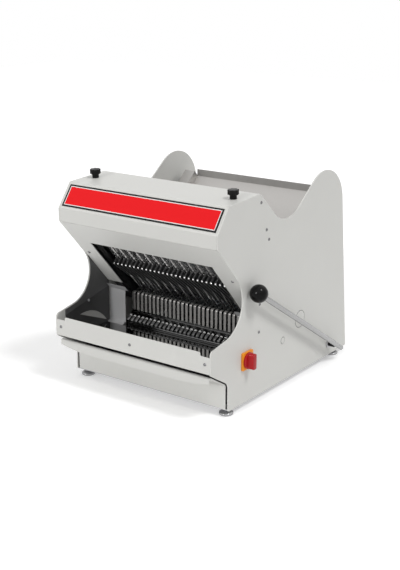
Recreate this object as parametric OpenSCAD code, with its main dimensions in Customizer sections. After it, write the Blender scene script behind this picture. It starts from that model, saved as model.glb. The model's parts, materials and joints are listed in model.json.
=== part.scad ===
// Table-top bread slicer. Millimetres, +Z up, +Y to the rear, +X to the lever side.
// The model is drawn from the lower edge of the side panels and the front of the base,
// and placed with its origin under the middle of its box, at floor level.

/* [Body] */
// Slice thickness, which is the pitch of the blades
slice_pitch = 15; // [14:0.5:16]
// Number of slices in a full loaf
slice_count = 28; // [24:2:30]
// Width of the channel between the loaf space and each side panel
side_channel = 56; // [54:1:62]
// Thickness of the side panels
panel_t = 4; // [3:0.5:5]
// Thickness of the folded sheets
sheet_t = 2; // [1.5:0.1:2.4]
// Inner radius of the sheet bends
bend_r = 2; // [1:0.5:3]
// Height of the feet
foot_h = 20; // [16:1:30]
// Diameter of the feet
foot_d = 40; // [32:1:44]
// Inset of the feet from the panel edges
foot_inset = 23; // [22:1:30]

/* [Side outline] */
// Depth of the base along the floor
base_depth = 641; // [630:1:660]
// Lean of the rear edge from upright
rear_lean = 6.4; // [5:0.1:7]
// Reach of the nose in front of the base
nose_reach = 81; // [78:1:84]
// Height of the nose's lower edge
nose_low = 127.5; // [126:0.5:130]
// Height of the nose's upper edge
nose_high = 191; // [186:1:196]
// Rise of the nose's upper edge towards the mouth
nose_slope = 10; // [8:0.5:12]
// Height of the knee under the nose
knee_z = 78; // [77:0.5:80]
// Reach of the hood in front of the base
hood_reach = 53; // [51:1:55]
// Height of the hood's lower front edge
hood_low = 456; // [454:1:458]
// Height of the hood's upright front strip
hood_strip = 37; // [34:1:40]
// Place of the hood's upper front fold, in front of the base
hood_fold_y = 4; // [2:1:6]
// Height of the hood's upper front fold
hood_fold_z = 559; // [556:1:562]
// Rise of the hood's top towards the rear
hood_slope = 2.9; // [2:0.1:4]
// Depth at which the valley's two slopes meet
valley_y = 272; // [268:1:276]
// Height at which the valley's two slopes meet
valley_z = 445; // [440:1:450]
// Fall of the valley's front slope
valley_front_slope = 43.2; // [42:0.2:45]
// Rise of the valley's rear slope
valley_rear_slope = 36.9; // [36:0.2:38]
// Radius of the valley
valley_r = 100; // [90:1:110]
// Radius of the ears
ear_r = 106; // [98:1:110]
// Radius of the mouth's arc
mouth_r = 90; // [80:1:95]

/* [Blades and pusher] */
// Lean of the blades from upright
blade_lean = 42; // [41.6:0.1:42.4]
// Thickness of a blade
blade_t = 1; // [0.6:0.1:1.2]
// Width of a blade
blade_w = 12; // [10:0.5:13]
// Depth of the blade seats in the rails
blade_seat = 4; // [3:0.5:5]
// Distance of the front rails behind the guard plate
rail_offset = 18; // [16:0.5:20]
// Thickness of the rails
rail_t = 14; // [12:0.5:14.5]
// Height of the rails
rail_h = 24; // [20:1:26]
// Width of the side bars of the blade frames
side_bar_w = 20; // [16:1:22]
// Throw of each blade frame to either side of its middle
throw = 10; // [8:0.5:10.5]
// Thickness of a pusher finger
finger_t = 5; // [4:0.5:6]
// Height of the loaf space
loaf_h = 143; // [138:1:145]
// Distance of the loaf floor from the hood's lower edge, down the blades
floor_s = 350; // [348:1:352]
// Turn of the lever from the end of the cut to the loading place
lever_turn = 32; // [20:1:34]
// Depth of the lever's pivot
pivot_y = 532; // [528:1:536]
// Height of the lever's pivot
pivot_z = 39; // [37:0.5:42]
// Length of the lever from pivot to ball
lever_len = 511; // [480:1:530]
// Rise of the lever at the end of the cut
lever_rise = 32; // [31:0.5:36]
// Diameter of the lever rod
rod_d = 15; // [12:0.5:16]
// Diameter of the ball
ball_d = 50; // [40:1:52]
// Diameter of the lever shaft
lever_shaft_d = 18; // [16:1:20]

/* [Hopper and outfeed] */
// Length of the chute floor behind the blades
chute_len = 386; // [370:1:396]
// Height of the chute's side walls
chute_wall = 24; // [20:1:27]
// Height of the chute's upper lip
chute_lip = 21; // [16:1:26]
// Height of the trough floor
trough_z = 110; // [109.5:0.5:113]
// Height of the ramp's upper end in the outfeed plate
ramp_high = 139; // [137:0.5:142]
// Height of the ramp's lower end
ramp_low = 117; // [115:0.5:119]
// Distance of the ramp's lower end behind the cheeks
ramp_back = 2; // [1:0.5:3]
// Width of the slots in the outfeed plate
slot_w = 7; // [5:0.5:8]
// Depth of the cheeks' front faces
cheek_y = 148; // [146:1:152]
// Height of the cheeks above the trough floor
cheek_h = 104; // [100:1:108]

/* [Drive] */
// Diameter of the crankshaft
crank_d = 18; // [16:1:20]
// Distance of the crankshaft from the hood's lower edge, down the blades
crank_s = 545; // [542:1:548]
// Radius of the eccentrics
eccentric_r = 22; // [21:0.5:23]
// Groove radius of the crank pulley
crank_pulley_r = 47; // [44:1:48]
// Groove radius of the motor pulley
motor_pulley_r = 23; // [20:1:25]
// Radius of the motor
motor_r = 60; // [54:1:61]
// Length of the motor
motor_len = 200; // [180:1:210]
// Depth of the motor axis
motor_y = 446; // [444:1:450]
// Height of the motor axis
motor_z = 160; // [156:1:164]

/* [Drawer and trim] */
// Depth of the crumb pan
pan_depth = 258; // [220:1:262]
// Height of the crumb pan
pan_h = 54; // [40:1:58]
// Drop of the drawer's handle lip
lip_drop = 29; // [25:1:33]
// Width of the switch plate
switch_w = 50; // [44:1:56]
// Diameter of the switch knob
switch_knob_d = 46; // [40:1:48]
// Diameter of the hood knobs
hood_knob_d = 30; // [26:1:34]
// Height of the red label
label_h = 67; // [60:1:70]
// Inset of the red label from the hood's ends
label_inset = 5; // [3:1:10]

/* [Hidden] */

$fn = 64;
// Angle step of large arcs and of small corners in outlines
arc_step = 4;
corner_step = 18;
small_r = 15;
// Gap between parts that slide past each other
slide_gap = 0.3;
// Radial clearance of running shafts
run_gap = 0.05;
// Radial clearance of screws and studs in plain holes
hole_gap = 0.2;
// Gap between parts that swing past each other
swing_gap = 6;
// Overrun of a cut past the face that it opens
cut = 1;

// Widths, measured from the middle plane
half_loaf = slice_pitch * slice_count / 2;
half_in = half_loaf + side_channel;
half_out = half_in + panel_t;

function dir(a) = [cos(a), sin(a)];
function unit(v) = v / norm(v);
function cross2(a, b) = a[0] * b[1] - a[1] * b[0];
function heading(v) = atan2(v[1], v[0]);
function left_of(v) = [-v[1], v[0]];
function flat(p) = [p[0], p[1]];
// Where the line through p at angle a meets the line through q at angle b
function meet(p, a, q, b) = p + dir(a) * cross2(q - p, dir(b)) / cross2(dir(a), dir(b));
function arc(c, r, a0, a1) =
    let (n = max(1, ceil(abs(a1 - a0) / (r < small_r ? corner_step : arc_step))))
    [for (i = [0:n]) c + r * dir(a0 + (a1 - a0) * i / n)];
function turn_to(a0, a1) =
    let (d = (a1 - a0) % 360)
    d > 180 ? d - 360 : d < -180 ? d + 360 : d;
// The corner b between a and c, rounded to radius r
function fillet(a, b, c, r) = r <= 0 ? [b] :
    let (u = unit(a - b), v = unit(c - b), half = acos(u * v) / 2,
         centre = b + unit(u + v) * r / sin(half),
         start = heading(b + u * r / tan(half) - centre),
         sweep = turn_to(start, heading(b + v * r / tan(half) - centre)))
    arc(centre, r, start, start + sweep);
// An outline from corner points [y, z, radius]
function rounded(pts) =
    let (n = len(pts))
    [for (i = [0:n - 1])
        each fillet(flat(pts[(i + n - 1) % n]), flat(pts[i]), flat(pts[(i + 1) % n]), pts[i][2])];
// A point of a path, moved to its left by t
function side_step(path, i, t) =
    let (n = len(path),
         a = i > 0 ? unit(path[i] - path[i - 1]) : unit(path[1] - path[0]),
         b = i < n - 1 ? unit(path[i + 1] - path[i]) : a)
    path[i] + (left_of(a) + left_of(b)) * t / (1 + a * b);
function bends_left(path, i) = cross2(path[i] - path[i - 1], path[i + 1] - path[i]) > 0;
// The outline of a folded sheet whose right-hand face follows the path
function folded(path, t, r) =
    let (n = len(path))
    rounded(concat(
        [for (i = [0:n - 1])
            [path[i][0], path[i][1], i == 0 || i == n - 1 ? 0 : bends_left(path, i) ? r + t : r]],
        [for (i = [n - 1:-1:0])
            let (p = side_step(path, i, t))
            [p[0], p[1], i == 0 || i == n - 1 ? 0 : bends_left(path, i) ? r : r + t]]));

// Draws a shape of the (y, z) plane from x0 to x1
module across(x0, x1) {
    translate([x0, 0, 0]) rotate([90, 0, 90]) linear_extrude(x1 - x0) children();
}
// Draws on both sides of the middle plane
module both_sides() {
    children();
    mirror([1, 0, 0]) children();
}
// A round bar along X, centred on the point p of the (y, z) plane
module bar_x(p, r, x0, x1) {
    translate([x0, p[0], p[1]]) rotate([0, 90, 0]) cylinder(r = r, h = x1 - x0);
}

// The blade frame's own plane: y is the distance behind the guard plate, z runs up the blades
hood_low_edge = [-hood_reach, hood_low];
down_blade = [sin(blade_lean), -cos(blade_lean)];
off_blade = [cos(blade_lean), sin(blade_lean)];
function frame_point(s, n) = hood_low_edge + s * down_blade + n * off_blade;
function s_of(p) = (p - hood_low_edge) * down_blade;
function n_of(p) = (p - hood_low_edge) * off_blade;
module along_blades() {
    translate([0, hood_low_edge[0], hood_low_edge[1]]) rotate([blade_lean, 0, 0]) children();
}
// A block of the blade frame's plane
module blade_block(x0, x1, n0, n1, s0, s1) {
    along_blades() translate([x0, n0, -s1]) cube([x1 - x0, n1 - n0, s1 - s0]);
}

// Corners of the side outline
nose_top = [-nose_reach, nose_high];
nose_bottom = [-nose_reach, nose_low];
knee = [0, knee_z];
hood_strip_top = hood_low_edge + [0, hood_strip];
hood_fold = [-hood_fold_y, hood_fold_z];
valley = [valley_y, valley_z];
mouth = meet(hood_low_edge, blade_lean - 90, nose_top, nose_slope);
hood_rear = meet(hood_fold, hood_slope, valley, -valley_front_slope);
ear = meet(valley, valley_rear_slope, [base_depth, 0], 90 + rear_lean);
hood_rear_r = 18;
nose_r = 12;
nose_low_r = 5;
knee_r = 22;
edge_r = 4;
function corner(p, r) = [p[0], p[1], r];
side_outline = rounded([
    corner([0, 0], edge_r),
    corner([base_depth, 0], edge_r),
    corner(ear, ear_r),
    corner(valley, valley_r),
    corner(hood_rear, hood_rear_r),
    corner(hood_fold, edge_r),
    corner(hood_strip_top, edge_r),
    corner(hood_low_edge, edge_r),
    corner(mouth, mouth_r),
    corner(nose_top, nose_r),
    corner(nose_bottom, nose_low_r),
    corner(knee, knee_r)
]);
// Depth of the rear edge at height z
function rear_edge(z) = base_depth - z * tan(rear_lean);

// Screws of the side panels, in the (y, z) plane
screw_d = 5;
screw_head_d = 9;
screw_head_h = 2.5;
panel_screw_places = [[145, 543], [173, 464], [186, 435], [145, 263], [143, 184]];

// Lever and pusher
pivot = [pivot_y, pivot_z];
lever_dir = dir(180 - lever_rise);
lever_x = half_out + ball_d / 2 + 2;
lever_tail = 40;
bush_r = lever_shaft_d / 2 + 3;
bush_flange_r = bush_r + 3;
bush_flange_t = 5;
boss_x0 = half_out + bush_flange_t + 1;
boss_r = lever_shaft_d / 2 + 1;
rod_seat = 2.5;
ball_flat = 4;
rod_in_ball = 18;

// Openings of the right panel
plug_small = [269, 123];
plug_small_r = 11;
plug_large = [360, 162];
plug_large_r = 26;
plug_t = 1.2;
plug_rim = 3;
plug_gap = 0.8;
switch_place = [83.5, 122];
switch_body_w = 40;
switch_body_low = 11.5;
switch_body_up = 20;
switch_body_depth = 42;
switch_neck_r = 11;

// Distances behind the guard plate of the crankshaft and of the space taken by the blade frames
frame_clear = 8;
rear_rail_n = rail_offset + rail_t + 2 * blade_w - 3 * blade_seat;
crank_n = (rail_offset + rear_rail_n + rail_t) / 2;
gap_n = rear_rail_n + rail_t + frame_clear;
crank = frame_point(crank_s, crank_n);
crank_pin_x = 40;
crank_bearing_r = 30;
crank_bearing_t = 18;

// Side panel with its holes: bush, crank, screws and, on the lever side, the switch and plugs
module side_plate(x0, lever_side) {
    difference() {
        across(x0, x0 + panel_t) polygon(side_outline);
        bar_x(pivot, bush_r + run_gap, x0 - cut, x0 + panel_t + cut);
        for (p = panel_screw_places) bar_x(p, screw_d / 2 + hole_gap, x0 - cut, x0 + panel_t + cut);
        if (lever_side) {
            bar_x(switch_place, switch_neck_r + hole_gap, x0 - cut, x0 + panel_t + cut);
            bar_x(plug_small, plug_small_r, x0 - cut, x0 + panel_t + cut);
            bar_x(plug_large, plug_large_r, x0 - cut, x0 + panel_t + cut);
        }
    }
}
module left_side_panel() color("gainsboro") side_plate(-half_out, false);
module right_side_panel() color("gainsboro") side_plate(half_in, true);

// Base plate between the panels, with stud holes for the feet
base_t = 3;
foot_x = half_out - foot_inset;
foot_front = foot_inset;
foot_rear = base_depth - 2 * foot_inset;
foot_stud_r = 5;
module base_plate() color("silver") difference() {
    translate([-half_in, edge_r, 0]) cube([2 * half_in, base_depth - 3 * edge_r, base_t]);
    for (x = [-foot_x, foot_x], y = [foot_front, foot_rear])
        translate([x, y, -cut]) cylinder(r = foot_stud_r + hole_gap, h = base_t + 2 * cut);
}

foot_neck_r = 9;
foot_rim = 7;
foot_nut_h = 8;
module foot() {
    rotate_extrude() polygon([
        [0, -foot_h], [foot_d / 2 - 2, -foot_h], [foot_d / 2, -foot_h + 2],
        [foot_d / 2, -foot_h + foot_rim],
        [foot_neck_r + 3, -foot_h / 2 + 3], [foot_neck_r, -foot_h / 2 + 5], [foot_neck_r, 0],
        [foot_stud_r, 0], [foot_stud_r, base_t + foot_nut_h], [0, base_t + foot_nut_h]
    ]);
}
module feet() color("lightgray")
    for (x = [-foot_x, foot_x], y = [foot_front, foot_rear]) translate([x, y, 0]) foot();

// Rear panel: leaning plate, folded over at the top to meet the chute, with cooling slots
rear_top = 485;
rear_inset = 3;
vent_w = 60;
vent_h = 6;
vent_gap = 14;
vent_rows = 8;
vent_low = 110;
vent_x = 110;
gland_place_x = -180;
gland_z = 60;
gland_r = 10;
// Depth of the chute floor's underside at height z
function chute_under(z) =
    meet(frame_point(floor_s + sheet_t, 0), blade_lean, [0, z], 0)[0];
module rear_panel() color("gainsboro") difference() {
    across(-half_in, half_in) polygon(folded(
        [[rear_edge(base_t) - rear_inset, base_t],
         [rear_edge(rear_top) - rear_inset, rear_top],
         [chute_under(rear_top), rear_top]], sheet_t, bend_r));
    for (side = [-1, 1], i = [0:vent_rows - 1])
        translate([side * vent_x - vent_w / 2, rear_edge(vent_low) - 60, vent_low + i * vent_gap])
            cube([vent_w, 120, vent_h]);
    translate([gland_place_x, rear_edge(gland_z) + 20, gland_z]) rotate([90, 0, 0])
        cylinder(r = gland_r + hole_gap, h = 60);
}
gland_nut_r = 14;
gland_nut_h = 7;
gland_neck = 16;
gland_bore_r = 5;
// The gland sits upright on the leaning panel
module cable_gland() color("dimgray")
    translate([gland_place_x, rear_edge(gland_z) - rear_inset, gland_z]) rotate([90 + rear_lean, 0, 0])
        mirror([0, 0, 1]) difference() {
            union() {
                cylinder(r = gland_nut_r, h = gland_nut_h, $fn = 6);
                cylinder(r = gland_r, h = gland_neck);
                translate([0, 0, -12]) cylinder(r = gland_r - 1, h = 12);
            }
            translate([0, 0, -12 - cut]) cylinder(r = gland_bore_r, h = gland_neck + 12 + 2 * cut);
        }

// Hood: folded cover between the panels
hood_gap = 0.3;
hood_lip = 18;
hood_lip_end = hood_rear + hood_lip * dir(-valley_front_slope);
hood_path = [hood_lip_end, hood_rear, hood_fold, hood_strip_top, hood_low_edge];
hood_knob_y = 66;
hood_knob_x = half_in - 31;
hood_knob_place = meet([hood_knob_y, 0], 90, hood_fold, hood_slope);
stud_r = 4;
module at_hood_knob(side) {
    translate([side * hood_knob_x, hood_knob_place[0], hood_knob_place[1]])
        rotate([hood_slope, 0, 0]) children();
}
module hood_cover() color("whitesmoke") difference() {
    across(-half_in + hood_gap, half_in - hood_gap) polygon(folded(hood_path, sheet_t, bend_r));
    for (side = [-1, 1]) at_hood_knob(side)
        translate([0, 0, -2 * sheet_t]) cylinder(r = stud_r + 2 * hole_gap, h = 4 * sheet_t);
}
// Angle brackets that carry the hood and take the knobs' studs
bracket_w = 50;
bracket_l = 44;
bracket_t = 3;
bracket_drop = 40;
module hood_bracket() {
    at_hood_knob(1) translate([0, 0, -sheet_t]) difference() {
        union() {
            translate([half_in - hood_knob_x - bracket_l, -bracket_w / 2, -bracket_t])
                cube([bracket_l, bracket_w, bracket_t]);
            translate([half_in - hood_knob_x - bracket_t, -bracket_w / 2, -bracket_drop])
                cube([bracket_t, bracket_w, bracket_drop]);
            translate([0, 0, -bracket_t - 7]) cylinder(r = 8, h = 7 + bracket_t);
        }
        translate([0, 0, -bracket_drop]) cylinder(r = stud_r + run_gap, h = bracket_drop + cut);
    }
}
module hood_brackets() color("silver") both_sides() hood_bracket();
// Fluted hand knob with its stud
knob_head_h = 13;
knob_stem_h = 12;
knob_stem_r = 9.5;
knob_flutes = 8;
stud_len = 20;
module hood_knob(side) {
    at_hood_knob(side) difference() {
        union() {
            translate([0, 0, slide_gap]) cylinder(r = knob_stem_r, h = knob_stem_h);
            translate([0, 0, knob_stem_h]) cylinder(r = hood_knob_d / 2, h = knob_head_h);
            translate([0, 0, -stud_len]) cylinder(r = stud_r, h = stud_len + knob_stem_h);
        }
        for (i = [0:knob_flutes - 1])
            rotate([0, 0, (i + 0.5) * 360 / knob_flutes])
                translate([hood_knob_d / 2 + 1.5, 0, knob_stem_h - cut])
                    cylinder(r = 4, h = knob_head_h + 2 * cut);
    }
}
module left_hood_knob() color("black") hood_knob(-1);
module right_hood_knob() color("black") hood_knob(1);

// Label plate on the hood's slanted face
label_t = 1;
label_face = hood_fold - hood_strip_top;
label_low = hood_strip_top + unit(label_face) * (norm(label_face) - label_h) / 2;
label_angle = heading(label_face);
module label_plate() color("red")
    translate([-half_in + label_inset, label_low[0], label_low[1]]) rotate([label_angle, 0, 0])
        cube([2 * (half_in - label_inset), label_h, label_t]);

// Guard plate under the hood, open below its top strip
guard_end = 293;
guard_top_strip = 91;
guard_screw_s = 146;
guard_screw_x = half_in - 17;
module guard_plate() color("whitesmoke") difference() {
    blade_block(-half_in, half_in, 0, sheet_t, sheet_t, guard_end);
    blade_block(-half_loaf, half_loaf, -cut, sheet_t + cut, guard_top_strip, guard_end + cut);
    for (side = [-1, 1]) along_blades() translate([side * guard_screw_x, sheet_t + cut, -guard_screw_s])
        rotate([90, 0, 0]) cylinder(r = screw_d / 2 + hole_gap, h = sheet_t + 2 * cut);
}

// Pusher comb: flat fingers between the blades, seen from the side as a convex plate
finger_front_n = 12;
finger_back_n = gap_n + 6;
finger_top_s = floor_s - loaf_h;
finger_low_s = floor_s - 5;
finger_foot_n = 38;
finger_nose_r = 4;
bar_w = 25;
bar_s = finger_top_s + 75;
finger_outline = rounded([
    [finger_front_n, -finger_top_s, finger_nose_r], [finger_foot_n, -finger_low_s, 2],
    [finger_back_n - 12, -finger_low_s, 2],
    [finger_back_n, -bar_s - bar_w / 2 - 12, 0], [finger_back_n, -bar_s + bar_w / 2 + 12, 0],
    [finger_front_n + 28, -finger_top_s, 4]
]);
module pusher_fingers() color("silver")
    for (i = [0:slice_count - 1])
        along_blades() across((i - (slice_count - 1) / 2) * slice_pitch - finger_t / 2,
            (i - (slice_count - 1) / 2) * slice_pitch + finger_t / 2) polygon(finger_outline);
// Cross bar behind the fingers, carried by an arm at each end
arm_t = 8;
arm_gap = 5;
arm_w = 36;
arm_x = half_in - arm_gap - arm_t;
bar_wall = 3;
bar_centre = frame_point(bar_s, finger_back_n + bar_w / 2);
module pusher_bar() color("silver") difference() {
    blade_block(-arm_x, arm_x, finger_back_n, finger_back_n + bar_w, bar_s - bar_w / 2, bar_s + bar_w / 2);
    blade_block(-arm_x - cut, arm_x + cut, finger_back_n + bar_wall, finger_back_n + bar_w - bar_wall,
        bar_s - bar_w / 2 + bar_wall, bar_s + bar_w / 2 - bar_wall);
}
hub_r = lever_shaft_d / 2 + 10;
arm_angle = heading(bar_centre - pivot);
arm_len = norm(bar_centre - pivot);
module arm_plate() {
    difference() {
        union() {
            across(arm_x, arm_x + arm_t) translate(pivot) rotate(arm_angle)
                polygon(rounded([[0, -arm_w / 2, 0], [arm_len + arm_w / 2, -arm_w / 2, 12],
                    [arm_len + arm_w / 2, arm_w / 2, 12], [0, arm_w / 2, 0]]));
            bar_x(pivot, hub_r, arm_x, arm_x + arm_t);
        }
        bar_x(pivot, lever_shaft_d / 2, arm_x - cut, arm_x + arm_t + cut);
    }
}
module left_pusher_arm() color("silver") mirror([1, 0, 0]) arm_plate();
module right_pusher_arm() color("silver") arm_plate();

// Lever: shaft through both panels, boss, rod and ball on the outside
module lever_shaft() color("silver") bar_x(pivot, lever_shaft_d / 2, -boss_x0, boss_x0);
module lever_bush(side) {
    mirror([side < 0 ? 1 : 0, 0, 0]) difference() {
        union() {
            bar_x(pivot, bush_r, half_in, half_out);
            bar_x(pivot, bush_flange_r, half_out, half_out + bush_flange_t);
        }
        bar_x(pivot, lever_shaft_d / 2 + run_gap, half_in - cut, half_out + bush_flange_t + cut);
    }
}
module left_lever_bush() color("darkgray") lever_bush(-1);
module right_lever_bush() color("darkgray") lever_bush(1);
module along_lever() {
    translate([lever_x, pivot[0], pivot[1]]) rotate([-lever_rise, 0, 0]) rotate([90, 0, 0]) children();
}
module lever_boss() color("black") difference() {
    bar_x(pivot, boss_r, boss_x0, lever_x - rod_d / 2 + rod_seat);
    along_lever() translate([0, 0, -boss_r - cut]) cylinder(d = rod_d, h = 2 * (boss_r + cut));
}
ball_r = ball_d / 2;
module lever_rod() color("lightgray")
    along_lever() translate([0, 0, -lever_tail])
        cylinder(d = rod_d, h = lever_tail + lever_len - ball_r + rod_in_ball);
module lever_ball() color("black") difference() {
    along_lever() translate([0, 0, lever_len]) sphere(r = ball_r);
    along_lever() translate([0, 0, lever_len - ball_r - cut]) cylinder(d = rod_d, h = rod_in_ball + cut);
    along_lever() translate([0, 0, lever_len - ball_r - ball_flat]) cylinder(r = ball_r, h = ball_flat + 2);
}
// Rubber stops under the arms at the end of the cut
stop_r = 10;
stop_reach = 0.7;
stop_at = pivot + dir(arm_angle) * arm_len * stop_reach
    + left_of(dir(arm_angle)) * (arm_w / 2 + stop_r + slide_gap);
module arm_stops() color("dimgray") both_sides() bar_x(stop_at, stop_r, arm_x, half_in);

// Hopper front plate, clear of the circle that the finger tips swing on
swing_r = norm(frame_point(finger_top_s, finger_front_n) - pivot);
front_plate_low = pivot
    + (swing_r + swing_gap + sheet_t) * unit(frame_point(finger_top_s - 19, gap_n - 2) - pivot);
knee_aim = [168, 430];
knee_gap = 20;
front_plate_knee = pivot + (swing_r + knee_gap) * unit(knee_aim - pivot);
hood_lip_in = side_step(hood_path, 0, sheet_t);
front_plate_path = [front_plate_low, front_plate_knee, hood_lip_in];
module hopper_front_plate() color("gainsboro")
    across(-half_in, half_in) polygon(folded(front_plate_path, sheet_t, bend_r));

// Hopper chute: floor, side walls, outward flanges and an upright lip at the top
chute_n0 = gap_n;
chute_n1 = chute_n0 + chute_len;
flange_n0 = finger_back_n + 2;
flange_gap = 7;
flange_x = arm_x - flange_gap;
chute_top = frame_point(floor_s, chute_n1);
module hopper_chute() color("rosybrown") {
    blade_block(-half_loaf, half_loaf, chute_n0, chute_n1, floor_s, floor_s + sheet_t);
    both_sides() {
        blade_block(half_loaf - sheet_t, half_loaf, flange_n0, chute_n1, floor_s - chute_wall, floor_s);
        blade_block(half_loaf, flange_x, flange_n0, chute_n1,
            floor_s - chute_wall, floor_s - chute_wall + sheet_t);
    }
    across(-half_loaf, half_loaf)
        polygon([chute_top, chute_top + [0, chute_lip], chute_top + [sheet_t, chute_lip],
            [chute_top[0] + sheet_t, frame_point(floor_s + sheet_t, chute_n1)[1]],
            frame_point(floor_s + sheet_t, chute_n1)]);
}

// Outfeed plate: loaf floor round the blades, upright drop and ramp, all slotted, with round-topped ribs
drop_n = 7;
plate_slope = 8.4;
drop_top = frame_point(floor_s, drop_n);
drop_low = [drop_top[0], ramp_high];
ramp_end = [cheek_y + sheet_t + ramp_back, ramp_low];
ramp_dir = unit(ramp_end - drop_low);
ramp_len = norm(ramp_end - drop_low);
plate_rear = meet(drop_top, plate_slope, frame_point(0, chute_n0 - slide_gap), blade_lean - 90);
comb_path = [plate_rear, drop_top, drop_low, ramp_end, [ramp_end[0], trough_z]];
comb_r = 3;
slot_end = meet(drop_top, plate_slope, frame_point(0, rear_rail_n + rail_t + 1), blade_lean - 90);
slot_reach = 6;
rib_start = 0.44;
rib_r = 4.8;
rib_lift = 1;
rib_short = 4;
rib_slot = 0.34;
module comb_slot(x) {
    across(x - slot_w / 2, x + slot_w / 2) {
        polygon([drop_low + [-slot_reach, slot_reach], drop_low + [slot_reach, slot_reach],
            drop_top + [slot_reach, -slot_reach], slot_end + [0, -slot_reach], slot_end + [0, slot_reach],
            drop_top + [-slot_reach, slot_reach]]);
        polygon([drop_low + rib_slot * ramp_len * ramp_dir + left_of(ramp_dir) * slot_reach,
            drop_low + rib_slot * ramp_len * ramp_dir - left_of(ramp_dir) * slot_reach,
            ramp_end - left_of(ramp_dir) * slot_reach,
            ramp_end - 3 * ramp_dir + left_of(ramp_dir) * slot_reach]);
    }
}
// A rib of the ramp: a round bar with a ball-shaped upper end
rib_foot = drop_low + rib_start * ramp_len * ramp_dir - rib_lift * left_of(ramp_dir);
module rib(x) {
    translate([x, rib_foot[0], rib_foot[1]]) rotate([atan2(-ramp_dir[0], ramp_dir[1]), 0, 0]) {
        sphere(r = rib_r);
        cylinder(r = rib_r, h = (1 - rib_start) * ramp_len - rib_short);
    }
}
module outfeed_comb() color("lightgray") {
    difference() {
        across(-half_loaf, half_loaf) polygon(folded(comb_path, sheet_t, comb_r));
        for (i = [1:slice_count - 1]) comb_slot((i - slice_count / 2) * slice_pitch);
    }
    for (i = [0:slice_count - 1]) rib((i - (slice_count - 1) / 2) * slice_pitch);
}

// Trough: polished floor, turned up behind the nose plate
trough_bend = -34;
nose_t = 2;
trough_rise = 0.62;
trough_front_y = -nose_reach + nose_t + sheet_t;
trough_front = [trough_front_y, trough_z + (trough_bend - trough_front_y) * trough_rise];
trough_path = [trough_front, [trough_bend, trough_z], [ramp_end[0] + sheet_t, trough_z]];
module outfeed_trough() color("lightgray")
    across(-half_in, half_in) polygon(folded(trough_path, -sheet_t, bend_r));

// Nose plate with lowered end tabs
nose_plate_low = nose_low + 2;
nose_plate_top = nose_high - 5;
nose_tab_top = nose_plate_top - 10;
nose_tab_w = 30;
nose_screw_up = 28;
nose_screw_in = 15;
nose_screw_z = nose_low + nose_screw_up;
nose_screw_xs = [-half_in + nose_screw_in, 0, half_in - nose_screw_in];
module nose_plate() color("whitesmoke") difference() {
    translate([0, -nose_reach + nose_t, 0]) rotate([90, 0, 0]) linear_extrude(nose_t) polygon(rounded([
        [-half_in, nose_plate_low, 0], [half_in, nose_plate_low, 0], [half_in, nose_tab_top, 3],
        [half_in - nose_tab_w, nose_tab_top, 2], [half_in - nose_tab_w, nose_plate_top, 5],
        [-half_in + nose_tab_w, nose_plate_top, 5], [-half_in + nose_tab_w, nose_tab_top, 2],
        [-half_in, nose_tab_top, 3]]));
    for (x = nose_screw_xs) translate([x, -nose_reach + nose_t + cut, nose_screw_z]) rotate([90, 0, 0])
        cylinder(r = screw_d / 2 + hole_gap, h = nose_t + 2 * cut);
}

// Cheeks: upright strips beside the outfeed, with a leaning top lip and a foot sloping down to the floor
cheek_x = half_loaf - 5;
cheek_lip = 22;
cheek_lip_x = cheek_x - 11;
cheek_top = trough_z + cheek_h;
cheek_foot = [15, 8];
module cheek() {
    translate([cheek_x, cheek_y, trough_z]) cube([half_in - cheek_x, sheet_t, cheek_h]);
    across(cheek_lip_x, half_in - liner_t) polygon([
        [cheek_y, cheek_top], [cheek_y + sheet_t, cheek_top],
        [cheek_y + sheet_t, cheek_top] - cheek_lip * down_blade,
        [cheek_y, cheek_top] - cheek_lip * down_blade]);
    across(cheek_x, half_in - liner_t) polygon([
        [cheek_y, trough_z], [cheek_y, trough_z + cheek_foot[1]], [cheek_y - cheek_foot[0], trough_z]]);
}
module left_cheek() color("gray") mirror([1, 0, 0]) cheek();
module right_cheek() color("gray") cheek();
// Dark liners on the panels' inner faces inside the mouth: a thicker plate below, a thinner one above
liner_t = 1.5;
liner_thin = 1;
liner_inset = 3;
liner_gap = 0.5;
liner_front = [-46, 178];
liner_rise = 43;
liner_rear = cheek_y - 3;
mouth_u = unit(hood_low_edge - mouth);
mouth_v = unit(nose_top - mouth);
mouth_centre = mouth + unit(mouth_u + mouth_v) * mouth_r / sin(acos(mouth_u * mouth_v) / 2);
liner_arc_top = blade_lean - acos((mouth_r - liner_gap) / (mouth_r + liner_inset));
liner_low = [liner_front, [liner_rear, liner_front[1] + liner_rise], [liner_rear, trough_z + liner_gap],
    [trough_bend + 4, trough_z + liner_gap]];
liner_high = concat(
    arc(mouth_centre, mouth_r + liner_inset, liner_arc_top, nose_slope - 90),
    [meet(liner_front, 90, nose_top - [0, liner_inset], nose_slope), liner_front,
        [liner_rear, liner_front[1] + liner_rise],
        meet([liner_rear, 0], 90, hood_low_edge - liner_gap * off_blade, blade_lean - 90)]);
module liner() {
    across(half_in - liner_t, half_in) polygon(liner_low);
    across(half_in - liner_thin, half_in) polygon(liner_high);
}
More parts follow.
